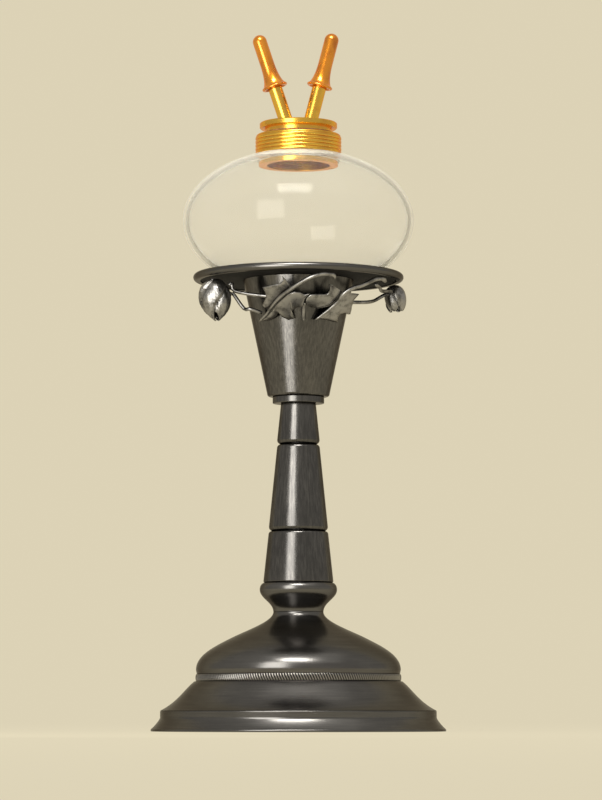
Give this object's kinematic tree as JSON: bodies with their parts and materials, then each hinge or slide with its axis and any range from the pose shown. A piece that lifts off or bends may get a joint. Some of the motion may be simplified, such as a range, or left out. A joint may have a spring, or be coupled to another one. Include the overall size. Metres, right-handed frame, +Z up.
{
  "type": "camphene lamp",
  "caption": "Camphene lamp with capped, splayed wick tubes on a screw burner, a flattened clear glass font on a round tray, and a dark turned stand with a leafy wreath.",
  "frame": {"origin": "centre of the foot's resting face", "axes": "+Z up the lamp's axis, -Y the front of the picture, +X to its right"},
  "size_m": [0.129, 0.129, 0.3084],
  "materials": {
    "dark_metal": "dark patinated, satin",
    "leaf_metal": "rubbed grey, satin",
    "iron": "plain iron",
    "brass": "lacquered, satin",
    "cap_brass": "deep amber lacquer",
    "glass": "clear, faintly milky",
    "plaster": "matte",
    "leather": "waxed",
    "cotton": "braided"
  },
  "bodies": {
    "stand": {"foot_rim": "dark_metal", "base_skirt": "dark_metal", "rope_band": "dark_metal", "base_dome": "dark_metal", "neck_bead": "dark_metal", "lower_stem": "dark_metal", "middle_stem": "dark_metal", "upper_stem": "dark_metal", "socket_ring": "dark_metal", "socket_cup": "dark_metal", "tie_rod": "iron", "rod_top_washer": "iron", "rod_top_nut": "iron", "rod_bottom_washer": "iron", "rod_bottom_nut": "iron", "tray_plate": "dark_metal", "tray_rim": "dark_metal", "glass_font": "glass", "peg_cement": "plaster", "collar": "brass", "collar_cement": "plaster", "left_vine": "leaf_metal", "right_vine": "leaf_metal", "back_vine": "leaf_metal", "left_upper_leaf": "leaf_metal", "left_lower_leaf": "leaf_metal", "middle_leaf": "leaf_metal", "right_leaf": "leaf_metal", "back_left_leaf": "leaf_metal", "back_right_leaf": "leaf_metal", "leaf_stalk": "leaf_metal", "left_bud": "leaf_metal", "right_bud": "leaf_metal", "left_bud_upper_stalk": "leaf_metal", "left_bud_lower_stalk": "leaf_metal", "right_bud_upper_stalk": "leaf_metal", "right_bud_lower_stalk": "leaf_metal"},
    "washer": {"burner_washer": "leather"},
    "burner": {"burner_plate": "brass", "left_wick_tube": "brass", "right_wick_tube": "brass"},
    "left_wick": {"left_wick": "cotton"},
    "right_wick": {"right_wick": "cotton"},
    "left_cap": {"left_cap": "cap_brass"},
    "right_cap": {"right_cap": "cap_brass"}
  },
  "joints": [
    {"name": "burner_rise", "type": "slide", "parent": "stand", "child": "washer", "axis": [0, 0, 1], "range_m": [0, 0.009]},
    {"name": "burner_turn", "type": "hinge", "parent": "washer", "child": "burner", "pos_m": [0, 0, 0.2637], "axis": [0, 0, 1], "range_deg": [0, 1800]},
    {"name": "left_wick_slide", "type": "slide", "parent": "burner", "child": "left_wick", "axis": [-0.3123, 0, 0.95], "range_m": [-0.002, 0.003]},
    {"name": "right_wick_slide", "type": "slide", "parent": "burner", "child": "right_wick", "axis": [0.2487, 0, 0.9686], "range_m": [-0.002, 0.003]},
    {"name": "left_cap_lift", "type": "slide", "parent": "burner", "child": "left_cap", "axis": [-0.3123, 0, 0.95], "range_m": [0, 0.02]},
    {"name": "right_cap_lift", "type": "slide", "parent": "burner", "child": "right_cap", "axis": [0.2487, 0, 0.9686], "range_m": [0, 0.02]}
  ],
  "couplings": [
    {"joint": "burner_rise", "follows": "burner_turn", "m_per_rad": 0.00028647}
  ]
}
